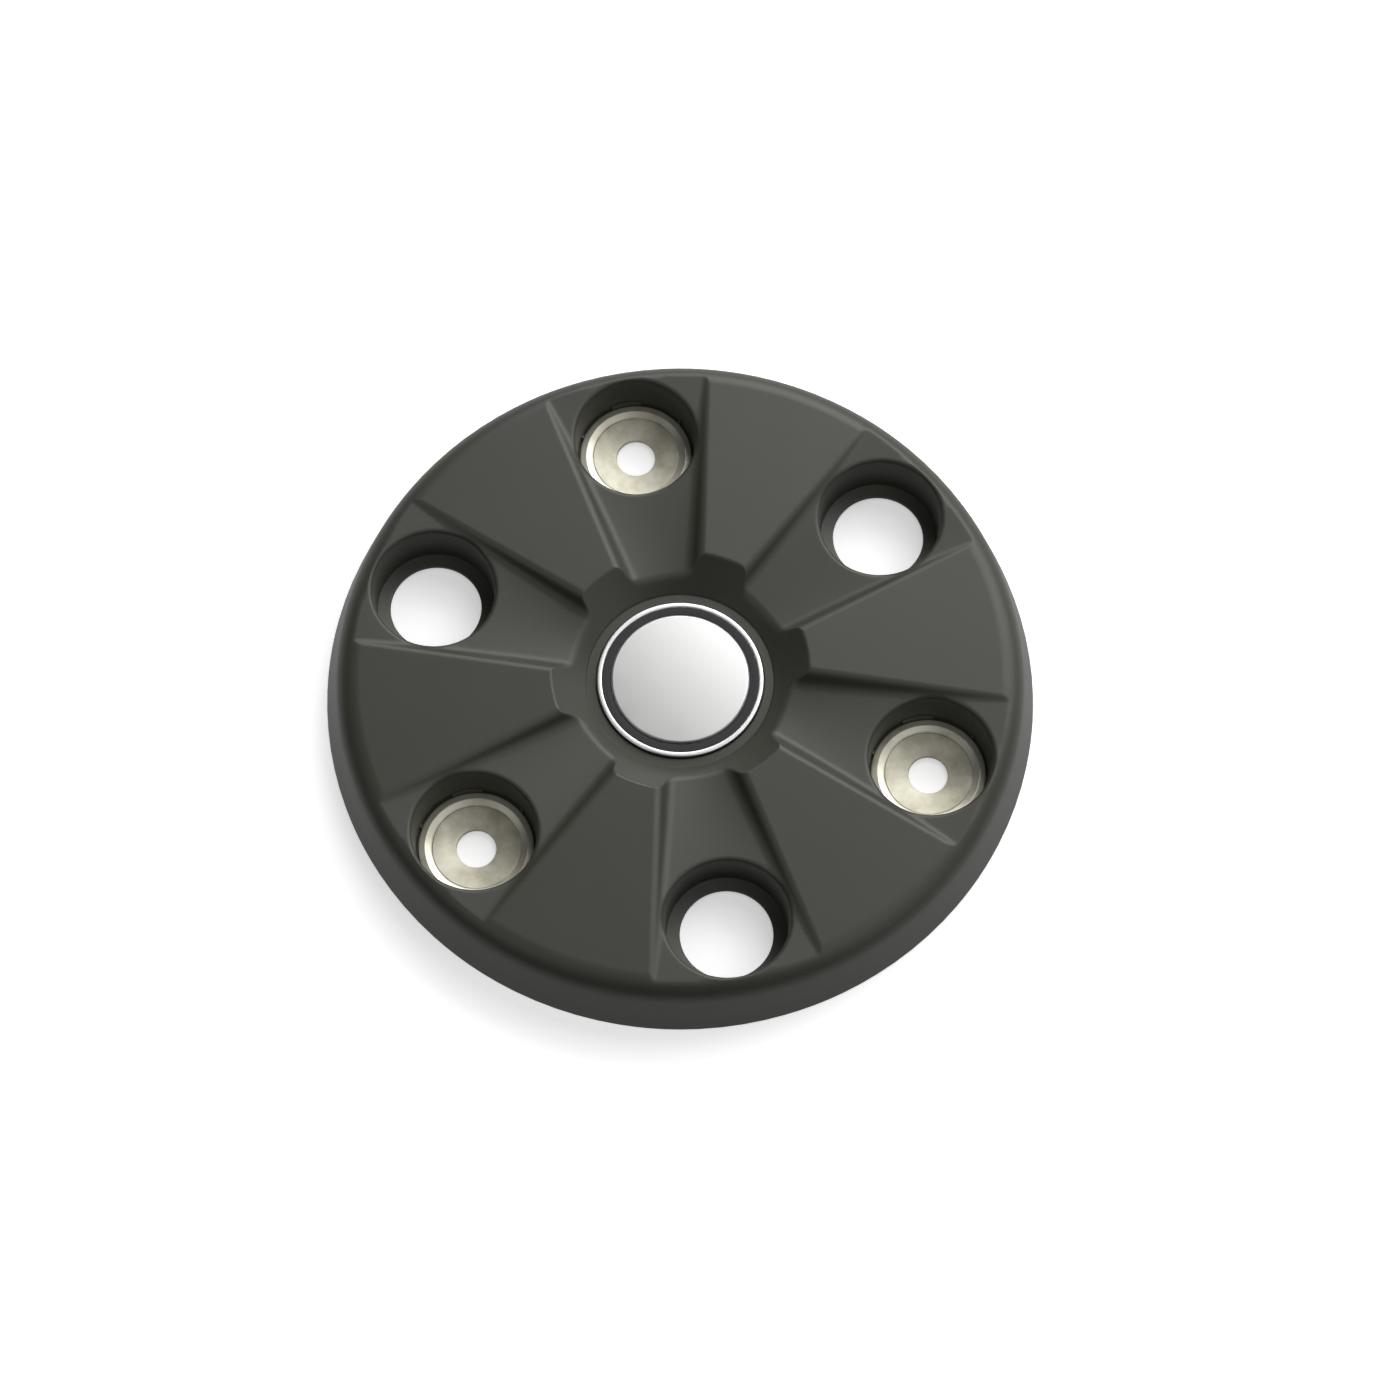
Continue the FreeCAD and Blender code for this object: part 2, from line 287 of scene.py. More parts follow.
SEAT_BACK = SEAT_HEIGHT - WALL
DRAFT_LENGTH = math.hypot(1, SKIRT_DRAFT)
bowl_slope = (HUB_HEIGHT - LAND_HEIGHT - LAND_STEP) / (BOWL_RADIUS - LAND_RADIUS - LAND_STEP / 2)
top_back = HUB_HEIGHT - WALL
rim_back = RIM_HEIGHT - WALL
rim_bevel = (RIM_ROUND - WALL) / 2
bowl_back = BOWL_RADIUS + WALL * math.hypot(1, bowl_slope) / bowl_slope - WALL / bowl_slope
bowl_foot = bowl_back - (top_back - SEAT_BACK) / bowl_slope


def skirt_back(height):
    """Radius of the skirt's inner face at a height."""
    return SKIRT_RADIUS - height * SKIRT_DRAFT - WALL * DRAFT_LENGTH


back_section = rounded([
    (OPENING_RADIUS, SEAT_BACK),
    (bowl_foot, SEAT_BACK, BACK_ROUND),
    (bowl_back, top_back, BACK_ROUND),
    (skirt_back(rim_back) - rim_bevel, rim_back, RIM_BACK_ROUND),
    (skirt_back(rim_back - rim_bevel), rim_back - rim_bevel, RIM_BACK_ROUND),
    (skirt_back(0), 0),
], chord_degrees=15.0)


def trough_back(radial):
    """Side and height of the two corners of the wall behind a trough."""
    half, depth, tilt, steep, foot = trough_sizes(radial)
    top = crown_height(radial)
    return foot + WALL / 2, top - depth - foot * math.tan(tilt) / 2 - WALL, half + WALL, top - WALL / 2


BACK_START = 32.5
back_start = trough_back(BACK_START)
back_end = trough_back(RIM_EDGE)


def back_height(x, y):
    """Height of the cover's back, in a sector whose trough runs along +X."""
    height = along(back_section, math.hypot(x, y))
    out = (x - BACK_START) / (RIM_EDGE - BACK_START)
    low_side, low, high_side, high = (a + (b - a) * out for a, b in zip(back_start, back_end))
    if abs(y) < high_side:
        share = max(abs(y) - low_side, 0) / (high_side - low_side)
        height = min(height, low + (high - low) * share)
    to_rib = abs(x * math.sin(SECTOR / 2) - abs(y) * math.cos(SECTOR / 2))
    if to_rib < RIB_HALF + RIB_SLOPE / 2:
        height = min(height, RIB_FOOT)
    if abs(y) < RIB_HALF + RIB_SLOPE / 2 and x > STUD_RADIUS:
        height = min(height, WEB_FOOT)
    return height


print("back at the hub %.1f, under a trough %.1f, at the rib %.1f mm" % (
    back_height(30, 0), back_height(60, 0), back_height(70, 70 * math.tan(SECTOR / 2))))

# %% [markdown]
# One sector of the cover is a sheet of points on rings and on lines that follow the trough's edges, so that
# every rounded edge has its own rows of points. A plain grid would step across those edges instead.

# %% Rings and lines of a sector
LEAST_TURN = 0.001          # radians between neighbours where lines run into the sector's side


def on_ring(radius, offset, spread, side):
    """Point at a radius on the line whose distance from the sector's middle is offset + spread * x."""
    square = 1 + spread * spread
    x = (-offset * spread + math.sqrt((offset * spread) ** 2 - square * (offset ** 2 - radius ** 2))) / square
    return math.atan2(side * (offset + spread * x), x)


def sheet_rows(rings, lines, fan_shares, edge_insets):
    """Rows of plan points, one row per ring, each from one side of the sector to the other."""
    half = SECTOR / 2
    rows = []
    for radius in rings:
        angles = [on_ring(radius, offset, spread, 1) for offset, spread in lines]
        insets = [half - math.asin(inset / radius) for inset in edge_insets]
        gap = insets[0] if insets else half
        room = gap - 2 * LEAST_TURN * (len(angles) + len(fan_shares))
        angles = [min(angle, room + LEAST_TURN * k) for k, angle in enumerate(angles)]
        last = angles[-1]
        angles += [last + (gap - last) * share for share in fan_shares] + insets
        angles += [] if angles[-1] == half else [half]
        angles = [-a for a in reversed(angles) if a > 0] + angles
        rows.append([(radius * math.cos(a), radius * math.sin(a)) for a in angles])
    return rows


def spaced(start, end, step):
    """Values after start up to and with end, in equal steps no longer than step."""
    count = max(1, math.ceil((end - start) / step))
    return [start + (end - start) * k / count for k in range(1, count + 1)]


def filled_in(section, steps):
    """Radii of a section's points, with more between them: steps pairs an upper radius with a step."""
    radii = [section[0].x]
    for point in section[1:]:
        start = radii[-1]
        for upper, step in steps:
            if start < min(point.x, upper) - 1e-6:
                radii += spaced(start, min(point.x, upper), step)
                start = radii[-1]
    return radii


SIDE_REACH = 9.0
FACE_STEPS = [(41, 1.2), (46, 0.4), (52, 0.5), (124, 2.0), (SKIRT_RADIUS, 1.5)]
FACE_FAN_SHARES = (0.12, 0.3, 0.52, 0.76)
BACK_STEPS = [(41, 3.0), (52, 1.0), (140, 4.0)]
BACK_FAN_SHARES = (0.35, 0.7, 1.0)
BACK_FLOOR_SHARES = (0.3, 0.65, 1)
side_insets = (9.0, 8.2, 7.4, 6.7, 6.0, 5.4, 4.8, 4.2, 3.7, 3.2, 2.7, 2.2, 1.7, 1.2, 0.7, 0.3, 0, -0.4)
edge_at_axis = TROUGH_MOUTH / 2 - LAND_RADIUS * TROUGH_SPREAD
floor_shares = (0, 0.3, 0.6, 0.82)
trough_lines = [((edge_at_axis - SIDE_REACH) * share, TROUGH_SPREAD * share) for share in floor_shares]
trough_lines += [(edge_at_axis - inset, TROUGH_SPREAD) for inset in side_insets]
face_rings = filled_in(face_section, FACE_STEPS)
face_rows = sheet_rows(face_rings, trough_lines, FACE_FAN_SHARES, ())

back_lines = [(0, 0), (RIB_HALF, 0), (RIB_HALF + RIB_SLOPE, 0)]
low_spread = (back_end[0] - back_start[0]) / (RIM_EDGE - BACK_START)
low_at_axis = back_start[0] - BACK_START * low_spread
high_at_axis = back_start[2] - BACK_START * TROUGH_SPREAD
back_lines += [(low_at_axis * share, low_spread * share) for share in BACK_FLOOR_SHARES]
back_lines.append(((low_at_axis + high_at_axis) / 2, (low_spread + TROUGH_SPREAD) / 2))
back_lines.append((high_at_axis, TROUGH_SPREAD))
back_rings = filled_in(back_section, BACK_STEPS)
back_rows = sheet_rows(back_rings, back_lines, BACK_FAN_SHARES, (RIB_HALF + RIB_SLOPE, RIB_HALF))
for name, rows in (("face", face_rows), ("back", back_rows)):
    print(name, "has", len(rows), "rings of", len(rows[0]), "points")

# %% [markdown]
# The round pocket cuts through this sheet: the points inside it are left out, the ring round the mouth is
# put in, and a constrained Delaunay triangulation joins both.

# %% Join a sheet to the ring round its pocket
RING_MARGIN = 0.5


def add_sheet(skin, rows, mouth, reach, height):
    """Triangles of a sheet with a round hole. Gives its first row, its last row and the hole's ring."""
    flat = []
    number = {}
    for i, row in enumerate(rows):
        for j, spot in enumerate(row):
            if math.dist(spot, (STUD_RADIUS, 0)) > reach + RING_MARGIN:
                number[i, j] = len(flat)
                flat.append(Vector(spot))
    edges = []
    for i, j in number:
        edges += [(number[i, j], number[other]) for other in ((i + 1, j), (i, j + 1)) if other in number]
    start = len(flat)
    flat += [Vector(spot) for spot in mouth]
    edges += [(start + k, start + (k + 1) % len(mouth)) for k in range(len(mouth))]
    spots, _, faces, origins, _, _ = delaunay_2d_cdt(flat, edges, [], 0, 1e-5)
    ids = skin.add([(spot.x, spot.y, height(spot.x, spot.y)) for spot in spots])
    place = {}
    for k, origin in enumerate(origins):
        for old in origin:
            place[old] = ids[k]
    last = len(rows) - 1
    side = len(rows[0]) - 1
    inner = [place[number[0, j]] for j in range(side + 1)]
    outer = [place[number[last, j]] for j in range(side + 1)]
    hole = [place[start + k] for k in range(len(mouth))]
    sides = [[place[number[i, j]] for i in range(last + 1)] for j in (0, side)]
    borders = [set(border) for border in (inner, outer, hole, *sides)]
    for face in faces:
        corners = [ids[k] for k in face]
        if not any(border.issuperset(corners) for border in borders):
            skin.faces.append(tuple(corners))
    return inner, outer, hole


# %% [markdown]
# The pocket itself is a chain of rings: over the rounded lip of the mouth, down the drafted wall, across the
# ledge, through the hole and up the outside of the tube behind.
# In every second pocket, three pads and three nibs on the wall keep the washer in the middle.

# %% Pocket and sector
POCKET_RADIUS = 23.0
POCKET_DRAFT = math.tan(math.radians(3.0))
LEDGE_HEIGHT = 3.5
LEDGE_THICKNESS = 1.8
LIP_ROUND = 1.6
MOUTH_REACH = 26.0
TUBE_REACH = 27.8
NUT_HOLE_RADIUS = 17.9
WASHER_HOLE_RADIUS = 19.8
PAD_COUNT = 6               # pads and nibs together
PAD_RADIUS = 22.4
PAD_HEIGHT = 3.2
PAD_CLEAR = 0.05
PAD_WIDTHS = (12.0, 1.4)
PAD_SIDE = math.radians(0.2)
PAD_TOP_EDGE = ((0.3, 0), (0.1, 0.1), (0, 0.4))     # outward and down
PAD_FOOT = ((0, 0.5), (0.05, 0.1), (0.2, 0))        # inward and up
BARE_DROPS = (0.1, 0.4, 0.8)                        # below the pads' height, where there is no pad
WALL_FOOT = ((0, 0.4), (0.12, 0.12), (0.4, 0))      # inward and up
HOLE_EDGE = ((0.3, 0), (0.09, 0.09), (0, 0.3))      # outward and down
HOLE_FOOT = ((0, 0.2), (0.2, 0))                    # outward and up
TUBE_EDGE = 0.3
RING_STEP = 3               # degrees
CLOSE_STEP = 0.7            # degrees


def pocket_at(height):
    """Radius of the pocket's drafted wall at a height."""
    return POCKET_RADIUS + (height - LEDGE_HEIGHT) * POCKET_DRAFT


def pad_spans(with_pads):
    """Middle and half width, in radians, of the pads and nibs round a pocket."""
    spans = []
    for k in range(PAD_COUNT if with_pads else 0):
        spans.append((math.radians(360 / PAD_COUNT) * k, math.asin(PAD_WIDTHS[k % 2] / 2 / PAD_RADIUS)))
    return spans


def turn_between(a, b):
    """Angle between two directions, without its sign."""
    return abs((a - b + math.pi) % (2 * math.pi) - math.pi)


def pocket_angles(spans):
    """Directions of the ring points: even steps, with a close pair at each pad's side and each web's side."""
    close = []
    for middle, half in spans:
        for edge in (middle - half, middle + half):
            close += [edge - PAD_SIDE, edge + PAD_SIDE]
    for side in (RIB_HALF, RIB_HALF + RIB_SLOPE):
        close += [math.asin(side / TUBE_REACH), -math.asin(side / TUBE_REACH)]
    even = [math.radians(RING_STEP * k) for k in range(360 // RING_STEP)]
    even = [a for a in even if all(turn_between(a, b) > math.radians(CLOSE_STEP) for b in close)]
    return sorted(a % (2 * math.pi) for a in even + close)


def pocket_rings(direction, on_pad, hole_radius):
    """Distance from the stud's axis and height of each ring in one direction, from the lip to the tube."""
    def spot(distance):
        return STUD_RADIUS + distance * math.cos(direction), distance * math.sin(direction)
    mouth = face_height(*spot(POCKET_RADIUS + 2 * LIP_ROUND))
    wall_top = pocket_at(mouth - LIP_ROUND)
    rings = []
    for degrees in (0, 18, 36, 54, 72, 90):
        a = math.radians(degrees)
        distance = wall_top + LIP_ROUND * (1 - math.sin(a))
        rings.append((distance, face_height(*spot(distance)) - LIP_ROUND * (1 - math.cos(a))))
    pad_top = LEDGE_HEIGHT + PAD_HEIGHT
    wall_start = mouth - LIP_ROUND
    for share in (0.3, 0.6, 0.85, 1):
        height = wall_start + (pad_top + PAD_CLEAR - wall_start) * share
        rings.append((pocket_at(height), height))
    if on_pad:
        rings += [(PAD_RADIUS + outward, pad_top - down) for outward, down in PAD_TOP_EDGE]
        rings += [(PAD_RADIUS - inward, LEDGE_HEIGHT + up) for inward, up in PAD_FOOT]
    else:
        rings += [(pocket_at(pad_top - down), pad_top - down) for down in BARE_DROPS]
        rings += [(POCKET_RADIUS - inward, LEDGE_HEIGHT + up) for inward, up in WALL_FOOT]
    ledge_foot = LEDGE_HEIGHT - LEDGE_THICKNESS
    rings += [(hole_radius + outward, LEDGE_HEIGHT - down) for outward, down in HOLE_EDGE]
    rings += [(hole_radius + outward, ledge_foot + up) for outward, up in HOLE_FOOT]
    tube_foot = pocket_at(ledge_foot) + WALL
    tube_start = ledge_foot + TUBE_EDGE
    rings += [(tube_foot - TUBE_EDGE, ledge_foot), (tube_foot, tube_start)]
    tube_top = back_height(*spot(pocket_at(HUB_HEIGHT) + WALL))
    for share in (0.33, 0.66, 1):
        height = tube_start + (tube_top - tube_start) * share
        rings.append((pocket_at(height) + WALL, height))
    return rings


def cover_sector(name, hole_radius, with_pads):
    """One sixth of the cover, with its trough along +X."""
    skin = Skin()
    spans = pad_spans(with_pads)
    turns = pocket_angles(spans)

    def circle(reach):
        return [(STUD_RADIUS + reach * math.cos(a), reach * math.sin(a)) for a in turns]

    face_inner, face_outer, face_mouth = add_sheet(
        skin, face_rows, circle(MOUTH_REACH), MOUTH_REACH, face_height)
    back_inner, back_outer, back_mouth = add_sheet(
        skin, back_rows, circle(TUBE_REACH), TUBE_REACH, back_height)
    columns = []
    for a in turns:
        on_pad = any(turn_between(a, middle) < half for middle, half in spans)
        rings = pocket_rings(a, on_pad, hole_radius)
        columns.append([(STUD_RADIUS + d * math.cos(a), d * math.sin(a), z) for d, z in rings])
    chain = [face_mouth] + [skin.add(list(ring)) for ring in zip(*columns)] + [back_mouth]
    for first, second in zip(chain, chain[1:]):
        skin.band(first, second, True)

    seat_section = [
        (SEAT_RADIUS, LAND_HEIGHT - SEAT_EDGE),
        (SEAT_RADIUS, SEAT_HEIGHT),
        (OPENING_RADIUS + OPENING_EDGE, SEAT_HEIGHT),
        (OPENING_RADIUS, SEAT_HEIGHT - OPENING_EDGE),
        (OPENING_RADIUS, SEAT_BACK + OPENING_FOOT),
    ]
    seat_turns = [math.atan2(skin.points[k][1], skin.points[k][0]) for k in face_inner]
    seat_rows = [face_inner]
    for radius, height in seat_section:
        seat_rows.append(skin.add([(radius * math.cos(a), radius * math.sin(a), height) for a in seat_turns]))
    for first, second in zip(seat_rows, seat_rows[1:]):
        skin.band(first, second, False)
    skin.stitch(seat_rows[-1], back_inner)
    skin.stitch(face_outer, back_outer)
    return new_object(name, skin)


washer_sector = cover_sector("washer_sector", WASHER_HOLE_RADIUS, True)
open_sector = cover_sector("open_sector", NUT_HOLE_RADIUS, False)
print("sectors:", len(washer_sector.data.polygons), "and", len(open_sector.data.polygons), "faces")

# %% [markdown]
# Finishes come next. Each one is a Principled shader with soft variation that is measured on the object.
# Written node by node such a shader is hard to read, so a small class lets numbers that vary over the
# surface be added and multiplied like any others: each sign adds the Math node for it.

# %% Shader maths


class Varying:
    """A value that varies over a surface. Sums and products of it add Math nodes."""

    def __init__(self, finish, socket):
        self.finish = finish
        self.socket = socket

    def math(self, operation, left, right):
        return self.finish.node("ShaderNodeMath", {"operation": operation}, {0: left, 1: right}, "Value")

    def __add__(self, other):
        return self.math("ADD", self, other)

    def __radd__(self, other):
        return self.math("ADD", other, self)

    def __sub__(self, other):
        return self.math("SUBTRACT", self, other)

    def __mul__(self, other):
        return self.math("MULTIPLY", self, other)


class Finish:
    """A material that is being built."""

    def __init__(self, name):
        self.material = bpy.data.materials.new(name)
        self.material.use_nodes = True
        self.tree = self.material.node_tree
        self.tree.nodes.clear()

    def node(self, kind, settings, sockets, output):
        """Add a node, set it up, fill its sockets and give one of its outputs."""
        made = self.tree.nodes.new(kind)
        for name, value in settings.items():
            setattr(made, name, value)
        for name, value in sockets.items():
            if isinstance(value, Varying):
                self.tree.links.new(value.socket, made.inputs[name])
            else:
                made.inputs[name].default_value = value
        return Varying(self, made.outputs[output])

    def place(self):
        return self.node("ShaderNodeTexCoord", {}, {}, "Object")

    def noise(self, size_mm, detail=2.0):
        """Soft noise from 0 to 1 with features of about that size."""
        sockets = {"Vector": self.place(), "Scale": 1 / (size_mm * MM), "Detail": detail}
        return self.node("ShaderNodeTexNoise", {}, sockets, "Fac")

    def blend(self, share, first, second):
        """Colour between two colours."""
        sockets = {0: share, 6: (*first, 1), 7: (*second, 1)}
        return self.node("ShaderNodeMix", {"data_type": "RGBA"}, sockets, 2)

    def bump(self, height, depth_mm, strength):
        """Normal that follows a fine relief."""
        sockets = {"Height": height, "Distance": depth_mm * MM, "Strength": strength}
        return self.node("ShaderNodeBump", {}, sockets, "Normal")

    def surface(self, shader):
        output = self.tree.nodes.new("ShaderNodeOutputMaterial")
        self.tree.links.new(shader.socket, output.inputs["Surface"])
        return self.material


# %% [markdown]
# The cover is moulded in dark grey plastic with a faint warm cast and a fine grain: matte, but with a broad
# soft sheen. The washers are bare plated steel with a mottled bloom. Their rims are rubbed smoother and
# have a lighter colour there, which is a painted sheen.
# The badge has a satin dark face, a ring in bright plating and a disc in satin silver.

# %% Finishes
# Above this height the washers' rims are smoother, and a lighter colour paints a sheen on them.
WEAR_AND_SHEEN_FROM = 4.0           # height at which the washers' rims start to be rubbed
WEAR_AND_SHEEN_FULLY = 4.3


def moulded_plastic():
    finish = Finish("moulded_plastic")
    cloud = finish.noise(28.0)
    grain = finish.noise(0.45, 1.0)
    shader = finish.node("ShaderNodeBsdfPrincipled", {}, {
        "Base Color": finish.blend(cloud, (0.0447, 0.0461, 0.0355), (0.0503, 0.0519, 0.0400)),
        "Roughness": 0.40 + grain * 0.06,
        "Normal": finish.bump(grain, 0.02, 0.35),
        "IOR": 1.5,
        "Specular IOR Level": 0.4,
    }, "BSDF")
    return finish.surface(shader)


def plated_steel():
    finish = Finish("plated_steel")
    bloom = (finish.noise(7.0, 4.0) - 0.32) * 2.5
    streak = finish.noise(0.8, 2.0)
    height = finish.node("ShaderNodeSeparateXYZ", {}, {0: finish.place()}, "Z")
    # Painted sheen with wear: going by height, the rims get a lighter colour and a lower roughness.
    rim_wear_and_sheen = finish.node("ShaderNodeMapRange", {"interpolation_type": "SMOOTHSTEP"}, {
        "Value": height, "From Min": WEAR_AND_SHEEN_FROM * MM, "From Max": WEAR_AND_SHEEN_FULLY * MM,
    }, "Result")
    shader = finish.node("ShaderNodeBsdfPrincipled", {}, {
        "Base Color": finish.blend(bloom + rim_wear_and_sheen * 0.6, (0.42, 0.40, 0.31), (0.68, 0.66, 0.55)),
        "Roughness": 0.46 + bloom * 0.06 + streak * 0.08 - rim_wear_and_sheen * 0.14,
        "Normal": finish.bump(streak, 0.01, 0.25),
        "Metallic": 0.62,
    }, "BSDF")
    return finish.surface(shader)


def satin_black():
    finish = Finish("satin_black")
    grain = finish.noise(0.4, 1.0)
    shader = finish.node("ShaderNodeBsdfPrincipled", {}, {
        "Base Color": (0.024, 0.024, 0.026, 1),
        "Roughness": 0.28 + grain * 0.06,
        "Specular IOR Level": 0.35,
    }, "BSDF")
    return finish.surface(shader)


def bright_plating():
    finish = Finish("bright_plating")
    haze = finish.noise(9.0, 2.0)
    shader = finish.node("ShaderNodeBsdfPrincipled", {}, {
        "Base Color": (0.90, 0.90, 0.90, 1),
        "Roughness": 0.26 + haze * 0.08,
        "Metallic": 1.0,
    }, "BSDF")
    return finish.surface(shader)


def satin_silver():
    finish = Finish("satin_silver")
    haze = finish.noise(9.0, 2.0)
    shader = finish.node("ShaderNodeBsdfPrincipled", {}, {
        "Base Color": (0.62, 0.62, 0.615, 1),
        "Roughness": 0.36 + haze * 0.08,
        "Metallic": 1.0,
    }, "BSDF")
    return finish.surface(shader)


cover_finish = moulded_plastic()
washer_finish = plated_steel()
face_finish = satin_black()
bright_finish = bright_plating()
silver_finish = satin_silver()
finishes = (cover_finish, washer_finish, face_finish, bright_finish, silver_finish)
print("finishes:", ", ".join(finish.name for finish in finishes))

# %% [markdown]
# Sectors and snap legs repeat round the axis. A small Geometry Nodes tree makes the copies: points at the
# origin carry one turned copy each. An Array modifier with an object offset would need a helper object for
# each count.

# %% Copies round the axis


def copies_tree():
    """Tree that turns copies of its geometry about the Z axis."""
    tree = bpy.data.node_groups.new("turned_copies", "GeometryNodeTree")
    tree.interface.new_socket("Geometry", in_out="INPUT", socket_type="NodeSocketGeometry")
    tree.interface.new_socket("Copies", in_out="INPUT", socket_type="NodeSocketInt")
    tree.interface.new_socket("First turn", in_out="INPUT", socket_type="NodeSocketFloat")
    tree.interface.new_socket("Finish", in_out="INPUT", socket_type="NodeSocketMaterial")
    tree.interface.new_socket("Geometry", in_out="OUTPUT", socket_type="NodeSocketGeometry")

    def node(kind, **settings):
        made = tree.nodes.new(kind)
        for name, value in settings.items():
            setattr(made, name, value)
        return made

    given = node("NodeGroupInput")
    points = node("GeometryNodePoints")
    index = node("GeometryNodeInputIndex")
    step = node("ShaderNodeMath", operation="DIVIDE")
    turn = node("ShaderNodeMath", operation="MULTIPLY_ADD")
    turn_vector = node("ShaderNodeCombineXYZ")
    copies = node("GeometryNodeInstanceOnPoints")
    real = node("GeometryNodeRealizeInstances")
    painted = node("GeometryNodeSetMaterial")
    result = node("NodeGroupOutput")
    step.inputs[0].default_value = 2 * math.pi
    link = tree.links.new
    link(given.outputs["Copies"], points.inputs["Count"])
    link(given.outputs["Copies"], step.inputs[1])
    link(index.outputs["Index"], turn.inputs[0])
    link(step.outputs[0], turn.inputs[1])
    link(given.outputs["First turn"], turn.inputs[2])
    link(turn.outputs[0], turn_vector.inputs["Z"])
    link(points.outputs["Points"], copies.inputs["Points"])
    link(given.outputs["Geometry"], copies.inputs["Instance"])
    link(turn_vector.outputs["Vector"], copies.inputs["Rotation"])
    link(copies.outputs["Instances"], real.inputs["Geometry"])
    link(real.outputs["Geometry"], painted.inputs["Geometry"])
    link(given.outputs["Finish"], painted.inputs["Material"])
    link(painted.outputs["Geometry"], result.inputs["Geometry"])
    return tree


turned_copies = copies_tree()
print("tree:", turned_copies.name, "with", len(turned_copies.nodes), "nodes")


def repeat(made, copies, first_degrees, finish):
    """Replace an object's mesh by copies of it, turned evenly about the Z axis."""
    modifier = made.modifiers.new("copies", "NODES")
    modifier.node_group = turned_copies
    names = {}
    for item in turned_copies.interface.items_tree:
        if item.in_out == "INPUT":
            names[item.name] = item.identifier
    modifier[names["Copies"]] = copies
    modifier[names["First turn"]] = math.radians(first_degrees)
    modifier[names["Finish"]] = finish
    bpy.context.view_layer.update()
    ready = made.evaluated_get(bpy.context.evaluated_depsgraph_get())
    mesh = bpy.data.meshes.new_from_object(ready)
    made.modifiers.clear()
    made.data = mesh
    print(made.name, "x", copies, ":", len(mesh.polygons), "faces")
    return made


def join(name, *objects):
    """One object from several meshes that sit at the origin."""
    work = bmesh.new()
    for made in objects:
        work.from_mesh(made.data)
    mesh = bpy.data.meshes.new(name)
    work.to_mesh(mesh)
    work.free()
    for made in objects:
        bpy.data.objects.remove(made)
    joined = bpy.data.objects.new(name, mesh)
    bpy.context.scene.collection.objects.link(joined)
    return joined


def settle(made, finish, node):
    """Give a finished piece its material and its place in the frame."""
    made.data.materials.clear()
    made.data.materials.append(finish)
    for face in made.data.polygons:
        face.material_index = 0
    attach(made, "root")
    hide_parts(node)


# %% [markdown]
# Three sectors with a washer's pocket and three with an open one make the whole cover. Their edges meet point
# for point, so merging the doubles closes it.

# %% The moulded cover
WASHER_COUNT = STUD_COUNT // 2
FIRST_WASHER = 90.0
FIRST_OPEN = 30.0
repeat(washer_sector, WASHER_COUNT, FIRST_WASHER, cover_finish)
repeat(open_sector, STUD_COUNT - WASHER_COUNT, FIRST_OPEN, cover_finish)
cover = close_and_smooth(join("moulded_cover", washer_sector, open_sector))
settle(cover, cover_finish, "cap_shell")

# %% [markdown]
# The three washers are pressed from sheet: a rim that lies on the pocket's ledge, a short step and a shallow
# dish down to the stud hole. They are turned from one outline with rounded bends, and each one is moved
# over its stud.

# %% Cup washers
WASHER_RADIUS = 22.3
RIM_TOP = 5.0
SHEET = 1.5
CREST_RADIUS = 19.8
CREST_INSET = 0.4           # how much nearer to the stud the crest's underside is
STEP_RADIUS = 17.1
STEP_TOP = 4.1
STUD_HOLE_RADIUS = 7.7
HOLE_TOP = 2.5
EDGE_DROP = 0.45
CREASE_DEPTH = 0.12
CREASE_WIDTH = 0.35

washer_outline = rounded([
    (STUD_HOLE_RADIUS, HOLE_TOP - SHEET, 0.25),
    (STEP_RADIUS, STEP_TOP - SHEET, 1.5),
    (CREST_RADIUS - CREST_INSET, LEDGE_HEIGHT, 0.8),
    (WASHER_RADIUS, LEDGE_HEIGHT, 0.3),
    (WASHER_RADIUS, RIM_TOP - EDGE_DROP, 0.5),
    (CREST_RADIUS, RIM_TOP, 0.7),
    (STEP_RADIUS, STEP_TOP - CREASE_DEPTH, 0.12),
    (STEP_RADIUS - CREASE_WIDTH, STEP_TOP, 0.12),
    (STUD_HOLE_RADIUS, HOLE_TOP, 0.35),
])

for count in range(WASHER_COUNT):
    washer = turned("cup_washer_%d_turned" % (count + 1), washer_outline)
    turn = math.radians(FIRST_WASHER - 360 / WASHER_COUNT * count)
    shift = Vector((STUD_RADIUS * math.cos(turn), STUD_RADIUS * math.sin(turn), 0)) * MM
    washer.data.transform(Matrix.Translation(shift) @ Matrix.Rotation(turn, 4, "Z"))
    settle(washer, washer_finish, "cup_washer_%d" % (count + 1))

# %% [markdown]
# The badge is a dark carrier with a bright ring in a rebate at its edge and a silver disc in the middle.
# It snaps into the land with hooked legs that only show from behind.

# %% Badge
AXIS_RADIUS = 0.01          # a turned face starts this close to the axis
BADGE_RADIUS = 32.5
FACE_HEIGHT = 14.5
RING_WIDTH = 2.0
RING_TOP = 14.8
RING_HEIGHT = 1.7
DISC_RADIUS = 27.0
DISC_SEAT = 13.9
DISC_TOP = 15.5
DISC_BEVEL = 0.6
DISC_GAP = 0.1
LEG_COUNT = 6
LEG_RADIUS = 22.0
LEG_INNER = 20.2
LEG_HALF = 4.5
HOOK_TOP = 9.1
HOOK_FOOT = 7.1
HOOK_RADIUS = 23.7

ring_inner = BADGE_RADIUS - RING_WIDTH
carrier = turned("badge_carrier", rounded([
    (AXIS_RADIUS, SEAT_HEIGHT),
    (BADGE_RADIUS, SEAT_HEIGHT),
    (BADGE_RADIUS, RING_TOP - RING_HEIGHT),
    (ring_inner, RING_TOP - RING_HEIGHT),
    (ring_inner, FACE_HEIGHT),
    (DISC_RADIUS + DISC_GAP, FACE_HEIGHT, 0.15),
    (DISC_RADIUS + DISC_GAP, DISC_SEAT),
    (AXIS_RADIUS, DISC_SEAT),
]))


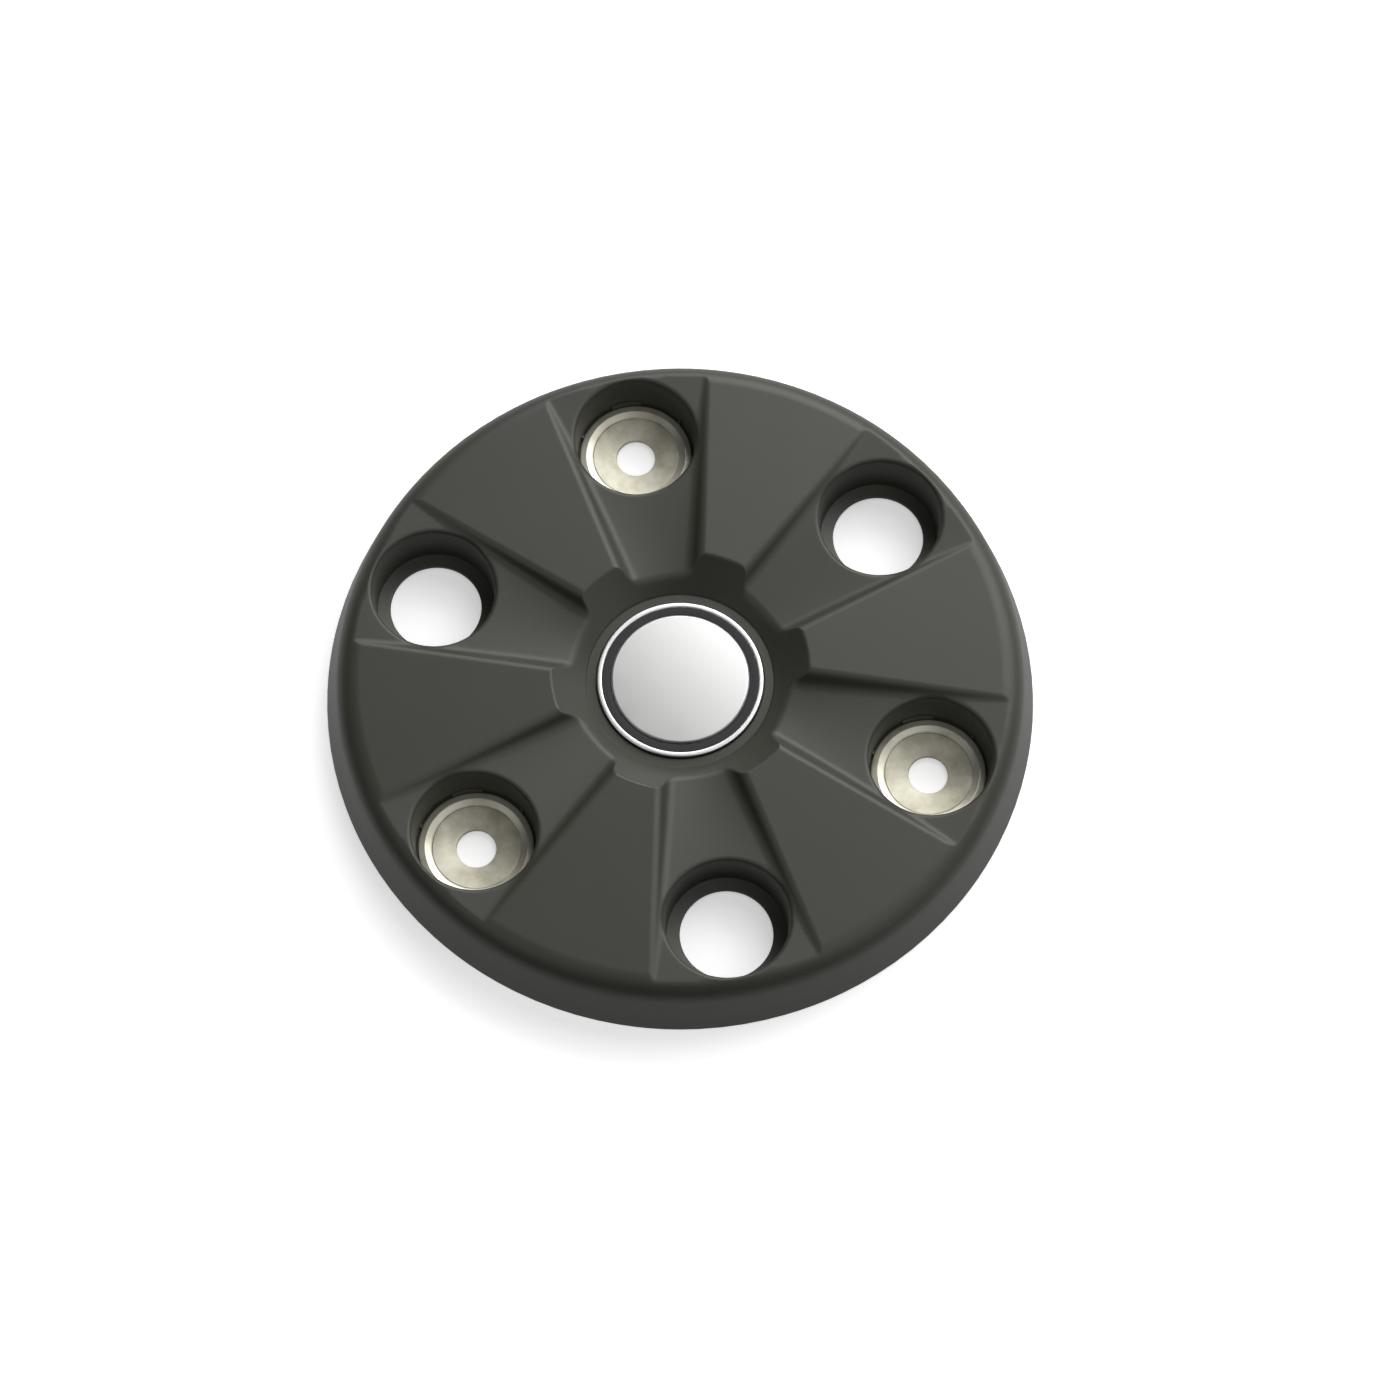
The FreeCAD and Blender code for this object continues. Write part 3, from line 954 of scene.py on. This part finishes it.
def snap_leg():
    """One hooked leg along +X."""
    skin = Skin()
    corners = [
        (LEG_INNER, SEAT_HEIGHT),
        (LEG_INNER, HOOK_FOOT),
        (LEG_RADIUS, HOOK_FOOT),
        (HOOK_RADIUS, HOOK_TOP),
        (LEG_RADIUS, HOOK_TOP),
        (LEG_RADIUS, SEAT_HEIGHT),
    ]
    rows = []
    for side in (-1, -0.5, 0, 0.5, 1):
        y = side * LEG_HALF
        rows.append(skin.add([(math.sqrt(r * r - y * y), y, z) for r, z in corners]))
    for first, second in zip(rows, rows[1:]):
        skin.band(first, second, True)
    skin.faces += [tuple(rows[0]), tuple(reversed(rows[-1]))]
    return new_object("snap_leg", skin)


legs = repeat(snap_leg(), LEG_COUNT, 0.0, face_finish)
badge_base = close_and_smooth(join("badge_carrier_with_legs", carrier, legs))
settle(badge_base, face_finish, "badge_base")

bead = turned("badge_bead", rounded([
    (ring_inner, RING_TOP - RING_HEIGHT),
    (BADGE_RADIUS, RING_TOP - RING_HEIGHT),
    (BADGE_RADIUS, RING_TOP, 0.5),
    (ring_inner, RING_TOP, 0.5),
]))
settle(bead, bright_finish, "badge_ring")

disc = turned("badge_plain_disc", rounded([
    (AXIS_RADIUS, DISC_SEAT),
    (DISC_RADIUS, DISC_SEAT),
    (DISC_RADIUS, DISC_TOP - DISC_BEVEL, 0.3),
    (DISC_RADIUS - DISC_BEVEL, DISC_TOP, 0.6),
    (AXIS_RADIUS, DISC_TOP),
]))
settle(disc, silver_finish, "badge_disc")

# %% [markdown]
# The cap lies on a white table, so the background is the floor itself. To the camera it is a pale
# sheet that shows the shadow, and a glow lifts it to white without more light on the cap.
# The light that bounces up to the cap comes from a greyer floor, and mirror rays see a glow of their own.
# Under the cap both glows are weaker, a painted shade that keeps the pockets dark.

# %% Floor and world
FLOOR_SIZE = 8.0            # metres
FLOOR_DROP = 0.02           # below the skirt
FLOOR_COLOR = 0.36          # for the light that bounces up
SEEN_COLOR = 0.9            # for the camera
SHADE_START = 110.0
SHADE_END = 140.0
SEEN_GLOW = (0.43, 0.53)    # under the cap and beside it
MIRROR_GLOW = (0.26, 0.55)
WORLD_LIGHT = 0.02


def add_floor():
    """White table under the cap."""
    mesh = bpy.data.meshes.new("table")
    half = FLOOR_SIZE / 2
    corners = [(x * half, y * half, -FLOOR_DROP * MM) for x, y in ((-1, -1), (1, -1), (1, 1), (-1, 1))]
    mesh.from_pydata(corners, [], [(0, 1, 2, 3)])
    table = bpy.data.objects.new("table", mesh)
    bpy.context.scene.collection.objects.link(table)
    finish = Finish("white_table")
    seen = finish.node("ShaderNodeLightPath", {}, {}, "Is Camera Ray")
    mirrored = finish.node("ShaderNodeLightPath", {}, {}, "Is Glossy Ray")
    through = finish.node("ShaderNodeLightPath", {}, {}, "Is Transmission Ray")
    radius = finish.node("ShaderNodeVectorMath", {"operation": "LENGTH"}, {0: finish.place()}, "Value")
    # Painted shade: under the cap both glows fall off with the radius.
    seen_glow, mirror_glow = [
        finish.node("ShaderNodeMapRange", {"interpolation_type": "SMOOTHSTEP"}, {
            "Value": radius, "From Min": SHADE_START * MM, "From Max": SHADE_END * MM,
            "To Min": under, "To Max": beside,
        }, "Result") for under, beside in (SEEN_GLOW, MIRROR_GLOW)]
    glow = finish.node("ShaderNodeEmission", {}, {
        "Color": seen * seen_glow + (mirrored + through) * mirror_glow, "Strength": 1.0,
    }, "Emission")
    matte = finish.node("ShaderNodeBsdfDiffuse", {}, {
        "Color": seen * (SEEN_COLOR - FLOOR_COLOR) + FLOOR_COLOR,
    }, "BSDF")
    both = finish.node("ShaderNodeAddShader", {}, {0: glow, 1: matte}, "Shader")
    table.data.materials.append(finish.surface(both))


def set_world():
    """Faint even light from all round."""
    world = bpy.data.worlds.new("studio")
    bpy.context.scene.world = world
    world.use_nodes = True
    tree = world.node_tree
    tree.nodes.clear()
    output = tree.nodes.new("ShaderNodeOutputWorld")
    light = tree.nodes.new("ShaderNodeBackground")
    light.inputs["Color"].default_value = (1, 1, 1, 1)
    light.inputs["Strength"].default_value = WORLD_LIGHT
    tree.links.new(light.outputs["Background"], output.inputs["Surface"])


add_floor()
set_world()
print("floor:", FLOOR_SIZE, "m wide, world light", WORLD_LIGHT)

# %% [markdown]
# Six broad soft lamps stand round the cap. The three strong ones are behind it and at its right, and make the
# bright sides of the bowl and the troughs. Three weak ones fill in from the right and the left.
# Directions are given as the camera sees them: 0 degrees is towards it and 90 degrees is to its right.

# %% Lamps and camera
CAMERA_AZIMUTH = -10.283
CAMERA_ELEVATION = 67.434
CAMERA_DISTANCE = 1694.5
CAMERA_ROLL = 0.359
AIM_HEIGHT = 1.7
IMAGE_SIZE = 1400
FOCAL_PIXELS = 4326.8
AIM_PIXEL = (680.22, 691.95)
SENSOR = 36.0
CLIP_START = 0.05           # metres

LAMP_DISTANCE = 2.0         # metres
LAMP_SIZE = 1.2             # metres
LAMPS = (                   # name, azimuth, elevation, watts
    ("back", 175, 32, 17.8),
    ("high_back", 150, 50, 15.3),
    ("right", 125, 32, 13.8),
    ("high_right", 60, 66, 5.1),
    ("front_right", 60, 32, 3.6),
    ("left", 300, 50, 3.8),
)


def heading(azimuth, elevation):
    """Direction from the cap towards a place round it."""
    a = math.radians(azimuth)
    e = math.radians(elevation)
    return Vector((math.sin(a) * math.cos(e), -math.cos(a) * math.cos(e), math.sin(e)))


def add_lamp(name, azimuth, elevation, watts):
    """Square area lamp that faces the cap."""
    data = bpy.data.lights.new(name, "AREA")
    data.shape = "SQUARE"
    data.size = LAMP_SIZE
    data.energy = watts
    lamp = bpy.data.objects.new(name, data)
    towards = heading(CAMERA_AZIMUTH + azimuth, elevation)
    lamp.location = towards * LAMP_DISTANCE
    lamp.rotation_euler = towards.to_track_quat("Z", "Y").to_euler()
    bpy.context.scene.collection.objects.link(lamp)


for lamp_sizes in LAMPS:
    add_lamp(*lamp_sizes)
print("lamps:", ", ".join("%s %.1f W" % (name, watts) for name, _, _, watts in LAMPS))

data = bpy.data.cameras.new("camera")
data.sensor_width = SENSOR
data.sensor_fit = "HORIZONTAL"
data.lens = FOCAL_PIXELS / IMAGE_SIZE * SENSOR
data.shift_x = (IMAGE_SIZE / 2 - AIM_PIXEL[0]) / IMAGE_SIZE
data.shift_y = (AIM_PIXEL[1] - IMAGE_SIZE / 2) / IMAGE_SIZE
data.clip_start = CLIP_START
camera = bpy.data.objects.new("camera", data)
bpy.context.scene.collection.objects.link(camera)
back = heading(CAMERA_AZIMUTH, CAMERA_ELEVATION)
level = Vector((math.cos(math.radians(CAMERA_AZIMUTH)), math.sin(math.radians(CAMERA_AZIMUTH)), 0))
upward = back.cross(level)
roll = math.radians(CAMERA_ROLL)
right = level * math.cos(roll) + upward * math.sin(roll)
up = upward * math.cos(roll) - level * math.sin(roll)
place = back * CAMERA_DISTANCE * MM + Vector((0, 0, AIM_HEIGHT * MM))
camera.matrix_world = Matrix.Translation(place) @ Matrix((right, up, back)).transposed().to_4x4()
bpy.context.scene.camera = camera
print("camera: %.1f mm away, %.1f mm lens" % (CAMERA_DISTANCE, data.lens))
bpy.context.scene.view_settings.view_transform = "Standard"
